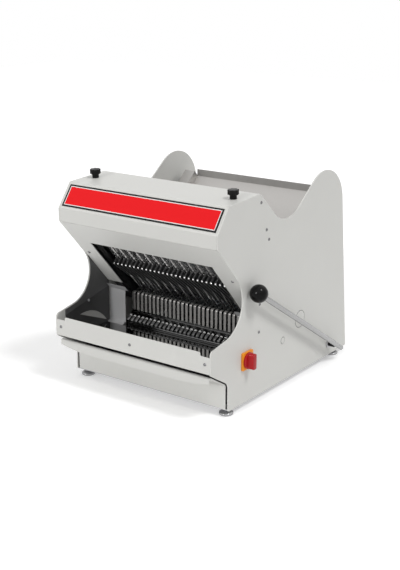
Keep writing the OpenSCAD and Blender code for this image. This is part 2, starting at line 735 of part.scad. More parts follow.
// Half-round window in the left liner, along the line of the floor
window_low = [132, 117];
window_high = [14, 164];
window_rise = 19;
window_half = norm(window_high - window_low) / 2;
window_r = (pow(window_half, 2) + pow(window_rise, 2)) / (2 * window_rise);
window_aim = heading(window_low - window_high) + 90;
window_centre = (window_low + window_high) / 2
    + (window_rise - window_r) * [cos(window_aim), sin(window_aim)];
window_turn = asin(window_half / window_r);
module side_liners() color("dimgray") {
    mirror([1, 0, 0]) difference() {
        liner();
        across(half_in - 2 * liner_t, half_in + cut)
            polygon(arc(window_centre, window_r, window_aim - window_turn, window_aim + window_turn));
    }
    difference() {
        liner();
        at_switch(half_in)
            translate([-switch_body_w / 2 - hole_gap, -switch_body_low - 2, -switch_body_depth])
            cube([switch_body_w + 2 * hole_gap, switch_body_low + 2 + switch_body_up + hole_gap,
                switch_body_depth + cut]);
    }
}

// Guides for the side bars of the blade frames
side_bar_x1 = half_loaf + 12 + side_bar_w + 2;
side_bar_x0 = side_bar_x1 - side_bar_w;
guide_x0 = side_bar_x1 - 7;
guide_n0 = rail_offset - 6;
guide_n1 = gap_n - 2;
guide_s0 = 200;
guide_s1 = 400;
module frame_guide() {
    difference() {
        blade_block(guide_x0, half_in, guide_n0, guide_n1, guide_s0, guide_s1);
        for (n = [rail_offset, rear_rail_n])
            blade_block(guide_x0 - cut, side_bar_x1 + slide_gap, n - slide_gap, n + rail_t + slide_gap,
                guide_s0 - cut, guide_s1 + cut);
    }
}
module left_frame_guide() color("dimgray") mirror([1, 0, 0]) frame_guide();
module right_frame_guide() color("dimgray") frame_guide();

// Blade frames: two rails and two side bars, with a saw-cut seat for each blade
rail_top_s = 100;
rail_low_s = 425;
blade_s0 = rail_top_s + 2;
blade_s1 = rail_low_s + rail_h - 2;
// Every second blade belongs to the front frame
function blade_xs(front) =
    [for (i = [1:slice_count - 1]) if ((i % 2 == 1) == front) (i - slice_count / 2) * slice_pitch];
module blade(x, n) {
    blade_block(x - blade_t / 2, x + blade_t / 2, n, n + blade_w, blade_s0, blade_s1);
}
front_blade_n = rail_offset + rail_t - blade_seat;
rear_blade_n = rear_rail_n + blade_seat - blade_w;
module blade_frame(n, xs, blade_n) {
    difference() {
        for (s = [rail_top_s, rail_low_s])
            blade_block(-side_bar_x1, side_bar_x1, n, n + rail_t, s, s + rail_h);
        for (x = xs) blade(x, blade_n);
    }
    both_sides() blade_block(side_bar_x0, side_bar_x1, n, n + rail_t, rail_top_s + rail_h, rail_low_s);
}
module front_blade_frame() color("dimgray") blade_frame(rail_offset, blade_xs(true), front_blade_n);
module rear_blade_frame() color("dimgray") blade_frame(rear_rail_n, blade_xs(false), rear_blade_n);
module front_blades() color("silver") for (x = blade_xs(true)) blade(x, front_blade_n);
module rear_blades() color("silver") for (x = blade_xs(false)) blade(x, rear_blade_n);
clamp_screw_r = 3.5;
clamp_screw_h = 2.5;
module front_clamp_screws() color("silver")
    for (x = blade_xs(true)) along_blades()
        translate([x, rail_offset, -rail_top_s - rail_h / 2]) rotate([90, 0, 0])
            cylinder(r = clamp_screw_r, h = clamp_screw_h);

// Yokes under the lower rails, open round the eccentrics
yoke_t = 14;
yoke_slack = 2.5;
yoke_wall = 8;
yoke_half_s = eccentric_r + yoke_slack;
yoke_half_n = eccentric_r + throw + 1.5;
module yoke(x, rail_n) {
    difference() {
        union() {
            blade_block(x - yoke_t / 2, x + yoke_t / 2,
                crank_n - yoke_half_n - yoke_wall, crank_n + yoke_half_n + yoke_wall,
                crank_s - yoke_half_s - yoke_wall, crank_s + yoke_half_s + yoke_wall);
            blade_block(x - yoke_t / 2, x + yoke_t / 2, rail_n, rail_n + rail_t,
                rail_low_s + rail_h, crank_s - yoke_half_s);
        }
        blade_block(x - yoke_t / 2 - cut, x + yoke_t / 2 + cut,
            crank_n - yoke_half_n, crank_n + yoke_half_n, crank_s - yoke_half_s, crank_s + yoke_half_s);
    }
}
module front_yoke() color("gray") yoke(crank_pin_x, rail_offset);
module rear_yoke() color("gray") yoke(-crank_pin_x, rear_rail_n);

// Crankshaft with two opposed eccentrics
module eccentric(x, side) {
    bar_x(crank + side * throw * off_blade, eccentric_r, x - yoke_t / 2, x + yoke_t / 2);
}
module crankshaft() color("silver") {
    bar_x(crank, crank_d / 2, -half_in + 1, half_in - 1);
    eccentric(crank_pin_x, 1);
    eccentric(-crank_pin_x, -1);
}
module crank_bearing() {
    difference() {
        bar_x(crank, crank_bearing_r, half_in - crank_bearing_t, half_in);
        bar_x(crank, crank_d / 2 + run_gap, half_in - crank_bearing_t - cut, half_in + cut);
    }
}
module left_crank_bearing() color("darkgray") mirror([1, 0, 0]) crank_bearing();
module right_crank_bearing() color("darkgray") crank_bearing();

// Belt drive on the left
belt_x = -185;
belt_w = 10;
belt_t = 5;
pulley_flange = 6;
pulley_flange_t = 3;
pulley_flange_x = belt_w / 2 + 0.5 + pulley_flange_t / 2;
motor = [motor_y, motor_z];
module pulley(p, r, shaft_r) {
    difference() {
        union() {
            bar_x(p, r, belt_x - belt_w / 2 - 0.5, belt_x + belt_w / 2 + 0.5);
            for (x = [belt_x - pulley_flange_x, belt_x + pulley_flange_x])
                bar_x(p, r + pulley_flange, x - pulley_flange_t / 2, x + pulley_flange_t / 2);
        }
        bar_x(p, shaft_r, belt_x - 20, belt_x + 20);
    }
}
module crank_pulley() color("darkgray") pulley(crank, crank_pulley_r, crank_d / 2);
motor_shaft_r = 9;
module motor_pulley() color("darkgray") pulley(motor, motor_pulley_r, motor_shaft_r);
// Outline of a loop round both pulleys, grown by g
function belt_loop(g) =
    let (a = heading(motor - crank), d = norm(motor - crank),
         tilt = asin((crank_pulley_r - motor_pulley_r) / d))
    concat(arc(crank, crank_pulley_r + g, a + 90 - tilt, a + 270 + tilt),
        arc(motor, motor_pulley_r + g, a - 90 + tilt, a + 90 - tilt));
module drive_belt() color("black") across(belt_x - belt_w / 2, belt_x + belt_w / 2) difference() {
    polygon(belt_loop(slide_gap + belt_t));
    polygon(belt_loop(slide_gap));
}
// Motor on its bracket
motor_x1 = 80;
motor_x0 = motor_x1 - motor_len;
motor_shaft_in = 60;
module motor_shaft() color("silver") bar_x(motor, motor_shaft_r, belt_x - 12, motor_x0 + motor_shaft_in);
shield_r = 12;
motor_box_x = 50;
motor_box_l = 80;
motor_box_w = 68;
motor_box_h = 28;
motor_foot = 50;
motor_foot_x = 40;
motor_foot_l = 90;
motor_foot_h = 24;
motor_seat = motor[1] - motor_r - 6;
module motor_body() color("slategray") difference() {
    union() {
        bar_x(motor, motor_r, motor_x0 + 14, motor_x1 - 30);
        bar_x(motor, motor_r - 8, motor_x0, motor_x1);
        translate([motor_x0 + motor_box_x, motor[0] - motor_box_w / 2, motor[1] + motor_r - shield_r])
            cube([motor_box_l, motor_box_w, shield_r + motor_box_h]);
        translate([motor_x0 + motor_foot_x, motor[0] - motor_foot, motor_seat])
            cube([motor_foot_l, 2 * motor_foot, motor_foot_h]);
    }
    bar_x(motor, motor_shaft_r + run_gap, motor_x0 - cut, motor_x0 + motor_shaft_in + cut);
}
bracket_x = 130;
module motor_bracket() color("silver") difference() {
    translate([-bracket_x, motor[0] - motor_foot, base_t])
        cube([2 * bracket_x, 2 * motor_foot, motor_seat - base_t]);
    translate([-bracket_x + bracket_t, motor[0] - motor_foot - cut, base_t - cut])
        cube([2 * (bracket_x - bracket_t), 2 * (motor_foot + cut), motor_seat - base_t - bracket_t + cut]);
}

// Crumb drawer on runners, with a folded front and handle lip
runner_t = 3;
runner_w = 16;
runner_inset = 50;
pan_inset = 30;
runner_x = half_in - runner_inset;
pan_x = half_in - pan_inset;
pan_z = base_t + runner_t + slide_gap;
drawer_gap = 6;
drawer_top_gap = 5;
module drawer_runners() color("dimgray") both_sides()
    translate([runner_x, 10, base_t]) cube([runner_w, pan_depth, runner_t]);
module crumb_drawer() color("silver") difference() {
    translate([-pan_x, sheet_t, pan_z]) cube([2 * pan_x, pan_depth, pan_h]);
    translate([-pan_x + sheet_t, 2 * sheet_t, pan_z + sheet_t])
        cube([2 * (pan_x - sheet_t), pan_depth - 2 * sheet_t, pan_h]);
}
front_low = 4;
lip_y = -nose_reach + 9;
lip_top = meet(nose_bottom, heading(knee - nose_bottom), [lip_y, 0], 90) - [0, drawer_top_gap];
drawer_front_path = [lip_top - [0, lip_drop], lip_top, knee - [0, drawer_top_gap], [0, front_low]];
lip_corner = 100;
lip_rise = 12;
lip_corner_r = (pow(lip_corner, 2) + pow(lip_rise, 2)) / (2 * lip_rise);
lip_turn = asin(lip_corner / lip_corner_r);
lip_low = lip_top[1] - lip_drop;
lip_half = half_in - drawer_gap;
module drawer_front() color("whitesmoke") difference() {
    across(-half_in + drawer_gap, half_in - drawer_gap) polygon(folded(drawer_front_path, sheet_t, 4));
    both_sides() translate([0, lip_y - 5, 0]) rotate([90, 0, 0]) mirror([0, 0, 1]) linear_extrude(12)
        polygon(concat(
            arc([lip_half - lip_corner, lip_low + lip_corner_r], lip_corner_r, -90, lip_turn - 90),
            [[half_in, lip_low + lip_rise], [half_in, lip_low - cut],
                [lip_half - lip_corner, lip_low - cut]]));
}

// Main switch
switch_t = 6;
switch_base_h = 6;
switch_grip_w = 16;
switch_grip_h = 16;
module at_switch(x) translate([x, switch_place[0], switch_place[1]]) rotate([90, 0, 90]) children();
module switch_plate() color("orange") at_switch(half_out) difference() {
    linear_extrude(switch_t) polygon(rounded([
        [-switch_w / 2, -switch_w / 2, 4], [switch_w / 2, -switch_w / 2, 4],
        [switch_w / 2, switch_w / 2, 4], [-switch_w / 2, switch_w / 2, 4]]));
    translate([0, 0, -cut]) cylinder(r = switch_neck_r + hole_gap, h = switch_t + 2 * cut);
}
module switch_body() color("dimgray") at_switch(half_in) difference() {
    union() {
        translate([-switch_body_w / 2, -switch_body_low, -switch_body_depth])
            cube([switch_body_w, switch_body_low + switch_body_up, switch_body_depth]);
        cylinder(r = switch_neck_r, h = panel_t + switch_t - 1);
    }
    translate([0, 0, -10]) cylinder(r = 4 + run_gap, h = 30);
}
module switch_knob() color("red") at_switch(half_out + switch_t + slide_gap) {
    cylinder(d = switch_knob_d, h = switch_base_h);
    linear_extrude(switch_base_h + switch_grip_h) polygon(rounded([
        [-switch_grip_w / 2, -switch_knob_d / 2 + 1, 5], [switch_grip_w / 2, -switch_knob_d / 2 + 1, 5],
        [switch_grip_w / 2, switch_knob_d / 2 - 1, 5], [-switch_grip_w / 2, switch_knob_d / 2 - 1, 5]]));
    translate([0, 0, -12]) cylinder(r = 4, h = 13);
}

// Screws, plugs and tie bars
module screw(shank) {
    cylinder(d = screw_d, h = shank + cut / 2);
    translate([0, 0, shank]) cylinder(d = screw_head_d, h = screw_head_h * 0.6);
    translate([0, 0, shank + screw_head_h * 0.6])
        cylinder(d1 = screw_head_d, d2 = screw_head_d * 0.6, h = screw_head_h * 0.4);
}
module panel_screws() color("lightgray") both_sides()
    for (p = panel_screw_places) translate([half_in, p[0], p[1]]) rotate([0, 90, 0]) screw(panel_t);
module front_screws() color("darkgray") {
    for (x = nose_screw_xs)
        translate([x, -nose_reach + nose_t, nose_screw_z]) rotate([90, 0, 0]) screw(nose_t);
    for (side = [-1, 1]) along_blades() translate([side * guard_screw_x, sheet_t, -guard_screw_s])
        rotate([90, 0, 0]) screw(sheet_t);
}
module plug(p, r) {
    bar_x(p, r - plug_gap, half_in - plug_t, half_out);
    bar_x(p, r + plug_rim, half_in - plug_t, half_in);
}
module hole_plugs() color("lightgray") {
    plug(plug_small, plug_small_r);
    plug(plug_large, plug_large_r);
}
tie_r = 8;
tie_front = [66, 84];
tie_back = 53;
tie_high = 275;
tie_places = [tie_front, [base_depth - tie_back, tie_high]];
module tie_bars() color("silver") for (p = tie_places) bar_x(p, tie_r, -half_in, half_in);

// Middle of the model's box
x_low = -boss_x0;
x_high = lever_x + ball_r;
y_low = -nose_reach - screw_head_h;
gland_reach = gland_neck * cos(rear_lean) + gland_r * sin(rear_lean);
y_high = max(base_depth, rear_edge(gland_z) - rear_inset + gland_reach);
module placed() translate([-(x_low + x_high) / 2, -(y_low + y_high) / 2, foot_h]) children();

placed() left_side_panel();
placed() right_side_panel();
placed() base_plate();
placed() rear_panel();
placed() hood_cover();
placed() hood_brackets();
placed() label_plate();
placed() guard_plate();
placed() hopper_front_plate();
placed() hopper_chute();
placed() outfeed_comb();
placed() outfeed_trough();
placed() nose_plate();
placed() left_cheek();
placed() right_cheek();
placed() side_liners();
placed() left_frame_guide();
placed() right_frame_guide();
placed() front_blade_frame();
placed() front_blades();
placed() front_clamp_screws();
placed() rear_blade_frame();
placed() rear_blades();
placed() front_yoke();
placed() rear_yoke();
placed() crankshaft();
placed() crank_pulley();
placed() left_crank_bearing();
placed() right_crank_bearing();
placed() drive_belt();
placed() motor_pulley();
placed() motor_shaft();
placed() motor_body();
placed() motor_bracket();
placed() lever_shaft();
placed() left_lever_bush();
placed() right_lever_bush();
placed() lever_boss();
placed() lever_rod();
placed() lever_ball();
placed() left_pusher_arm();
placed() right_pusher_arm();
placed() pusher_bar();
placed() pusher_fingers();
placed() arm_stops();
placed() crumb_drawer();
placed() drawer_front();
placed() drawer_runners();
placed() switch_plate();
placed() switch_body();
placed() switch_knob();
placed() left_hood_knob();
placed() right_hood_knob();
placed() feet();
placed() panel_screws();
placed() front_screws();
placed() hole_plugs();
placed() cable_gland();
placed() tie_bars();
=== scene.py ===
import bpy, bmesh, json, math
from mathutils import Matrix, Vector


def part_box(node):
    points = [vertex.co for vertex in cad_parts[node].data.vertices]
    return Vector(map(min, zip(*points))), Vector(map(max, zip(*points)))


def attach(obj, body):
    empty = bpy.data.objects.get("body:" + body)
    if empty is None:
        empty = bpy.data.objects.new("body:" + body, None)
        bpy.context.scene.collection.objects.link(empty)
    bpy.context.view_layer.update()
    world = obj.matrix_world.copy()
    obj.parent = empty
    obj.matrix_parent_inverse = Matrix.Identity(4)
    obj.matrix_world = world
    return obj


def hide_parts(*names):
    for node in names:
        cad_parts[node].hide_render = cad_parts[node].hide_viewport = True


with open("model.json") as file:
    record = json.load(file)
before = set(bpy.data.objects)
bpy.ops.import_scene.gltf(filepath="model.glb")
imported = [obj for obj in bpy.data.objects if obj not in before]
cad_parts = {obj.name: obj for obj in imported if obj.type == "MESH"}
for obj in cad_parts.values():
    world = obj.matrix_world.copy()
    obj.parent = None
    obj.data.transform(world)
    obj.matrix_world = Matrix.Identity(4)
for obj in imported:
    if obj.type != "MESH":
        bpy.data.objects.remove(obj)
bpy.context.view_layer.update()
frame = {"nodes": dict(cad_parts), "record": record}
nodes = frame["nodes"]
scene = bpy.context.scene
scene.view_settings.view_transform = "Standard"

perMetre = 1000  # places and sizes are in mm, and bump depths and merge distances in metres

# machine axes: x from the middle plane, y from the base's front edge, z from the panels' lower edge
layout = {"midX": 23.0, "midY": 282.3925, "footHeight": 20.0, "bladeLean": 42.0, "hoodEdge": (-53.0, 456.0)}
bladeLean = math.radians(layout["bladeLean"])
bladeUp = Vector((0, -math.sin(bladeLean), math.cos(bladeLean)))
bladeOut = Vector((0, -math.cos(bladeLean), -math.sin(bladeLean)))


def spot(x, y, z):
    sizes = (x - layout["midX"], y - layout["midY"], z + layout["footHeight"])
    return Vector([size / perMetre for size in sizes])


# a place by the leaning blades: down from the hood's edge, and in behind the guard's face
def alongBlades(x, down, inward):
    y = layout["hoodEdge"][0] + down * math.sin(bladeLean) + inward * math.cos(bladeLean)
    z = layout["hoodEdge"][1] - down * math.cos(bladeLean) + inward * math.sin(bladeLean)
    return spot(x, y, z)


# materials

noiseBand = (0.3, 0.7)  # the part of a noise that is spread over a finish's range
grainSetup = {"cloudScale": 6, "cloudDetail": 4, "grainDetail": 2, "gloss": (0.85, 1.15), "bumpDepth": 0.0004}
brushSetup = {"detail": 5, "gloss": (0.75, 1.3), "bumpDepth": 0.0003}
zoneSetup = {"detail": 4, "bumpDepth": 0.0003}
evenly = (1, 1, 1)  # a noise that isn't stretched along an axis


def startMaterial(name):
    mat = bpy.data.materials.new(name)
    mat.use_nodes = True
    tree = mat.node_tree
    shader = tree.nodes["Principled BSDF"]
    place = tree.nodes.new("ShaderNodeTexCoord").outputs["Object"]
    return mat, tree, shader, place


# a socket is linked to the input, and any other value is set on it
def setInput(tree, node, key, value):
    if isinstance(value, bpy.types.NodeSocket):
        tree.links.new(value, node.inputs[key])
    else:
        node.inputs[key].default_value = value


# settings that are no input of the node are its properties
def addNode(tree, kind, **settings):
    node = tree.nodes.new(kind)
    for key, value in settings.items():
        if key in node.inputs:
            setInput(tree, node, key, value)
        else:
            setattr(node, key, value)
    return node


def addMath(tree, operation, *values):
    node = addNode(tree, "ShaderNodeMath", operation=operation)
    for i, value in enumerate(values):
        setInput(tree, node, i, value)
    return node.outputs[0]


def addVectorMath(tree, operation, first, second, output="Vector"):
    node = addNode(tree, "ShaderNodeVectorMath", operation=operation)
    setInput(tree, node, 0, first)
    setInput(tree, node, 1, second)
    return node.outputs[output]


def noiseOn(tree, place, stretch, scale, detail):
    mapping = addNode(tree, "ShaderNodeMapping", Vector=place, Scale=stretch)
    noise = addNode(tree, "ShaderNodeTexNoise", Vector=mapping.outputs["Vector"], Scale=scale, Detail=detail)
    return noise.outputs["Fac"]


def rampFrom(tree, source, stops, interpolation="LINEAR"):
    ramp = addNode(tree, "ShaderNodeValToRGB", Fac=source)
    ramp.color_ramp.interpolation = interpolation
    elements = ramp.color_ramp.elements
    while len(elements) < len(stops):
        elements.new(0.5)
    for element, (start, colour) in zip(elements, stops):
        element.position = start
        element.color = (*colour, 1)
    return ramp.outputs["Color"]


def rangeFrom(tree, source, low, high):
    spread = addNode(tree, "ShaderNodeMapRange", **{
        "Value": source, "From Min": noiseBand[0], "From Max": noiseBand[1], "To Min": low, "To Max": high})
    return spread.outputs["Result"]


def bumpFrom(tree, source, shader, strength, depth):
    bump = addNode(tree, "ShaderNodeBump", Height=source, Strength=strength, Distance=depth)
    tree.links.new(bump.outputs["Normal"], shader.inputs["Normal"])


def glossFrom(tree, source, shader, low, high):
    tree.links.new(rangeFrom(tree, source, low, high), shader.inputs["Roughness"])


def tinted(colour, factor):
    return tuple(min(1, c * factor) for c in colour)


def driftFrom(tree, source, shader, colour, drift):
    ends = (tinted(colour, 1 - drift), tinted(colour, 1 + drift))
    tree.links.new(rampFrom(tree, source, list(zip(noiseBand, ends))), shader.inputs["Base Color"])


# sprayed or moulded surface: soft colour drift, fine grain in the gloss and the bump
def grainedMaterial(name, colour, rough, metal=0.0, drift=0.05, grain=700, bump=0.06, specular=0.5):
    mat, tree, shader, place = startMaterial(name)
    cloud = noiseOn(tree, place, evenly, grainSetup["cloudScale"], grainSetup["cloudDetail"])
    driftFrom(tree, cloud, shader, colour, drift)
    fine = noiseOn(tree, place, evenly, grain, grainSetup["grainDetail"])
    glossFrom(tree, fine, shader, *(rough * share for share in grainSetup["gloss"]))
    shader.inputs["Metallic"].default_value = metal
    shader.inputs["Specular IOR Level"].default_value = specular
    bumpFrom(tree, fine, shader, bump, grainSetup["bumpDepth"])
    return mat


# brushed metal: streaks in colour, gloss and bump, finest along the axis with the largest stretch
def brushedMaterial(name, colour, rough, stretch, scale=60, drift=0.12, bump=0.05):
    mat, tree, shader, place = startMaterial(name)
    streak = noiseOn(tree, place, stretch, scale, brushSetup["detail"])
    driftFrom(tree, streak, shader, colour, drift)
    glossFrom(tree, streak, shader, *(rough * share for share in brushSetup["gloss"]))
    shader.inputs["Metallic"].default_value = 1.0
    bumpFrom(tree, streak, shader, bump, brushSetup["bumpDepth"])
    return mat


# several looks on one piece: each is a colour, a roughness and a metalness, and the mask counts them from 0
def zonedMaterial(name, mask, looks, stretch, scale=60, drift=0.08, bump=0.04):
    mat, tree, shader, place = startMaterial(name)
    colours, roughs, metals = zip(*looks)
    starts = [i / len(looks) for i in range(len(looks))]
    middle = addMath(tree, "ADD", mask(tree, place), 0.5)  # the middle of the look's own step
    share = addMath(tree, "DIVIDE", middle, len(looks))
    streak = noiseOn(tree, place, stretch, scale, zoneSetup["detail"])
    shade = rangeFrom(tree, streak, 1 - drift, 1 + drift)
    tone = rampFrom(tree, share, list(zip(starts, colours)), "CONSTANT")
    tree.links.new(addVectorMath(tree, "MULTIPLY", tone, shade), shader.inputs["Base Color"])
    feels = [(rough, metal, 0) for rough, metal in zip(roughs, metals)]
    feel = rampFrom(tree, share, list(zip(starts, feels)), "CONSTANT")
    parts = addNode(tree, "ShaderNodeSeparateColor", Color=feel)
    tree.links.new(addMath(tree, "MULTIPLY", parts.outputs["Red"], shade), shader.inputs["Roughness"])
    if len(set(metals)) == 1:
        shader.inputs["Metallic"].default_value = metals[0]
    else:
        tree.links.new(parts.outputs["Green"], shader.inputs["Metallic"])
    bumpFrom(tree, streak, shader, bump, zoneSetup["bumpDepth"])
    return mat


def distanceAlong(tree, place, origin, direction):
    offset = addVectorMath(tree, "SUBTRACT", place, origin)
    return addVectorMath(tree, "DOT_PRODUCT", offset, direction, "Value")


def isBelow(tree, value, limit):
    return addMath(tree, "LESS_THAN", value, limit / perMetre)


def isAbove(tree, value, limit):
    return addMath(tree, "GREATER_THAN", value, limit / perMetre)


def bothOf(tree, first, second):
    return addMath(tree, "MULTIPLY", first, second)


# masks: where the looks change on one piece

# fingers: the noses are polished steel that reflects, but the bright band on each nose and the near-black
# bars are a painted highlight on the row of tips and painted shade behind it
fingerZone = {"noseDepth": 17.0, "noseLow": 214.0}


def onNoseHighlight(tree, place):
    depth = distanceAlong(tree, place, alongBlades(0, 0, 0), -bladeOut)
    down = distanceAlong(tree, place, alongBlades(0, 0, 0), -bladeUp)
    inFront = isBelow(tree, depth, fingerZone["noseDepth"])
    return bothOf(tree, inFront, isBelow(tree, down, fingerZone["noseLow"]))


# the ribs' foot is a (y, z) place, and their heading a (y, z) direction
combZone = {"rampTop": 145.5, "plateLow": 202.0, "ribFoot": (170.7, 130.2), "ribHeading": (-0.842, -0.539),
            "ribLift": 1.4, "ribBack": -6.0, "tipHighlightEnd": 1.5, "plateShadeLook": 4}


# 0 on the drop bars, 1 on the ramp, 2 on its ribs, 3 on the ribs' round tips, 4 on the plate above; the ramp
# and the plate are darkened as painted shade, and the round tips are white as a painted highlight
def onCombShadeAndHighlight(tree, place):
    y, z = combZone["ribHeading"]
    foot = spot(0, *combZone["ribFoot"])
    height = distanceAlong(tree, place, spot(0, 0, 0), Vector((0, 0, 1)))
    ramp = isBelow(tree, height, combZone["rampTop"])
    along = distanceAlong(tree, place, foot, Vector((0, y, z)))
    proud = isAbove(tree, distanceAlong(tree, place, foot, Vector((0, z, -y))), combZone["ribLift"])
    rib = bothOf(tree, proud, isAbove(tree, along, combZone["ribBack"]))
    tip = bothOf(tree, rib, isBelow(tree, along, combZone["tipHighlightEnd"]))
    steps = addMath(tree, "ADD", addMath(tree, "ADD", rib, tip), 1)
    plate = addMath(tree, "MULTIPLY", isAbove(tree, height, combZone["plateLow"]), combZone["plateShadeLook"])
    return addMath(tree, "ADD", bothOf(tree, ramp, steps), plate)


# the thin liner sheet beyond this step stands in for the shaded inner face of the side panel, painted shade;
# the thick lower plate within it is darker still
linerZone = {"step": 264.75}  # how far from the middle plane the thick part ends


def onThickLiner(tree, place):
    across = distanceAlong(tree, place, spot(0, 0, 0), Vector((1, 0, 0)))
    return isBelow(tree, addMath(tree, "ABSOLUTE", across), linerZone["step"])


bladeSetup = {"width": 12.0, "thickness": 1.0, "top": 102.0, "low": 447.0, "pitch": 15.0, "count": 28,
              "frontPlace": 28.0, "rearPlace": 36.0, "toothCount": 23, "toothDepth": 2.4, "glintWidth": 2.6}
# the front edge's look, whiter and smoother than the flat sides, is a painted glint along each blade
bladeLooksWithGlint = [((0.60, 0.60, 0.61), 0.24, 1.0), ((0.97, 0.97, 0.97), 0.13, 1.0)]  # flat, front edge


# the straight front edge, since the teeth are behind and face the loaf; its bright band is a painted glint
def onFrontEdgeGlint(front):
    def mask(tree, place):
        depth = distanceAlong(tree, place, alongBlades(0, 0, front), -bladeOut)
        return isBelow(tree, depth, bladeSetup["glintWidth"])
    return mask


# a dark ring at the edge of each plug: painted shade in the gap round the plug
plugZone = {"holes": (((269, 123), 11), ((360, 162), 26)), "rim": 1.7}  # each hole's (y, z) place and radius


def onPlugRimShade(tree, place):
    flat = addVectorMath(tree, "MULTIPLY", place, (0, 1, 1))
    shadedRims = []
    for (y, z), radius in plugZone["holes"]:
        middle = spot(0, y, z)
        away = addVectorMath(tree, "DISTANCE", flat, (0, middle.y, middle.z), "Value")
        shadedRims.append(isAbove(tree, away, radius - plugZone["rim"]))
    return bothOf(tree, *shadedRims)


casingGrey = (0.640, 0.638, 0.612)
finishes = {
    "paint": grainedMaterial("warmGreyPaint", casingGrey, 0.42, drift=0.012, grain=900, bump=0.05),
    # a darker copy of the casing paint for the hopper's front plate: painted shade inside the hood
    "shadedInnerPaint": grainedMaterial(
        "innerGreyPaintShaded", (0.52, 0.52, 0.50), 0.48, drift=0.015, grain=900, bump=0.05),
    "chute": brushedMaterial("chuteStainless", (0.40, 0.389, 0.377), 0.50, (40, 1, 1), 60, 0.05),
    "trough": brushedMaterial("troughPolished", (0.30, 0.30, 0.30), 0.06, (1, 40, 40), 30, 0.05, 0.01),
    # outfeed comb: the dark ramp and plate are painted shade, the white rib tips a painted highlight
    "comb": zonedMaterial("combStainlessShadeAndHighlight", onCombShadeAndHighlight, [
        ((0.44, 0.43, 0.415), 0.50, 1.0), ((0.13, 0.13, 0.13), 0.12, 1.0), ((0.38, 0.38, 0.38), 0.35, 1.0),
        ((0.97, 0.97, 0.96), 0.35, 0.0), ((0.12, 0.12, 0.12), 0.30, 1.0)], (1, 1, 40)),
    "cheek": grainedMaterial(
        "cheekSatin", (0.46, 0.46, 0.465), 0.45, metal=0.1, drift=0.05, grain=600, bump=0.04),
    # fingers: bright noses as a painted highlight, near-black bars as painted shade
    "finger": zonedMaterial("fingerSteelNoseHighlight", onNoseHighlight, [
        ((0.05, 0.05, 0.05), 0.40, 0.0), ((0.96, 0.96, 0.95), 0.14, 1.0)], (1, 30, 30)),
    "frontBlade": zonedMaterial(
        "frontBladeSteelGlint", onFrontEdgeGlint(bladeSetup["frontPlace"]), bladeLooksWithGlint, (60, 1, 1), 80),
    "rearBlade": zonedMaterial(
        "rearBladeSteelGlint", onFrontEdgeGlint(bladeSetup["rearPlace"]), bladeLooksWithGlint, (60, 1, 1), 80),
    "rod": brushedMaterial("drawnRodSteel", (0.35, 0.35, 0.35), 0.24, (1, 60, 60), 40, 0.07),
    "zinc": brushedMaterial("zincPlate", (0.50, 0.50, 0.51), 0.36, (8, 8, 8), 40, 0.08),
    "screw": brushedMaterial("screwSteel", (0.22, 0.22, 0.225), 0.30, (8, 8, 8), 40, 0.10),
    "chrome": brushedMaterial("footChrome", (0.34, 0.34, 0.345), 0.12, (2, 2, 2), 20, 0.03, 0.01),
    # side liners: dark sheets whose thin part is painted shade on the panel's inner face
    "liner": zonedMaterial("linerDarkPaintedShade", onThickLiner, [
        ((0.125, 0.125, 0.126), 0.45, 0.0), ((0.065, 0.065, 0.066), 0.40, 0.0)], evenly, 300),
    # plugs: casing paint with a dark edge ring as painted shade
    "plug": zonedMaterial("plugPaintRimShade", onPlugRimShade, [
        (casingGrey, 0.42, 0.0), ((0.17, 0.17, 0.17), 0.50, 0.0)], evenly, 300, 0.02),
    "boxPlastic": grainedMaterial("switchBoxPlastic", (0.05, 0.05, 0.05), 0.50, drift=0.08, grain=500),
    "iron": grainedMaterial(
        "frameDarkPaint", (0.020, 0.020, 0.021), 0.50, drift=0.10, grain=400, specular=0.3),
    "casting": grainedMaterial(
        "castGrey", (0.22, 0.22, 0.23), 0.50, metal=0.6, drift=0.10, grain=300, bump=0.2),
    "motor": grainedMaterial("motorPaint", (0.20, 0.23, 0.26), 0.42, drift=0.05, grain=500),
    "ball": grainedMaterial(
        "ballPhenolic", (0.003, 0.003, 0.003), 0.07, drift=0.15, grain=60, bump=0.005, specular=0.12),
    "knob": grainedMaterial(
        "knobPhenolic", (0.006, 0.006, 0.006), 0.36, drift=0.15, grain=700, bump=0.08, specular=0.15),
    "rubber": grainedMaterial("beltRubber", (0.022, 0.022, 0.022), 0.65, drift=0.15, grain=400, bump=0.15),
    "slide": grainedMaterial("slidePlastic", (0.040, 0.040, 0.042), 0.45, drift=0.05, grain=500),
    "orange": grainedMaterial(
        "switchOrange", (0.88, 0.31, 0.02), 0.42, drift=0.03, grain=700, bump=0.06, specular=0.25),
    "red": grainedMaterial(
        "switchRed", (0.38, 0.006, 0.010), 0.24, drift=0.05, grain=700, bump=0.04, specular=0.25),
}


# label print: black rim, white line and red field, measured from the plate's own edges
labelPrint = {"red": (0.78, 0.008, 0.012), "white": (0.80, 0.78, 0.77), "black": (0.012, 0.012, 0.012),
              "rim": 5.4, "line": 2.2, "rough": (0.46, 0.54), "specular": 0.15, "grain": 500,
              "grainDetail": 2, "bump": 0.03, "bumpDepth": 0.0003}


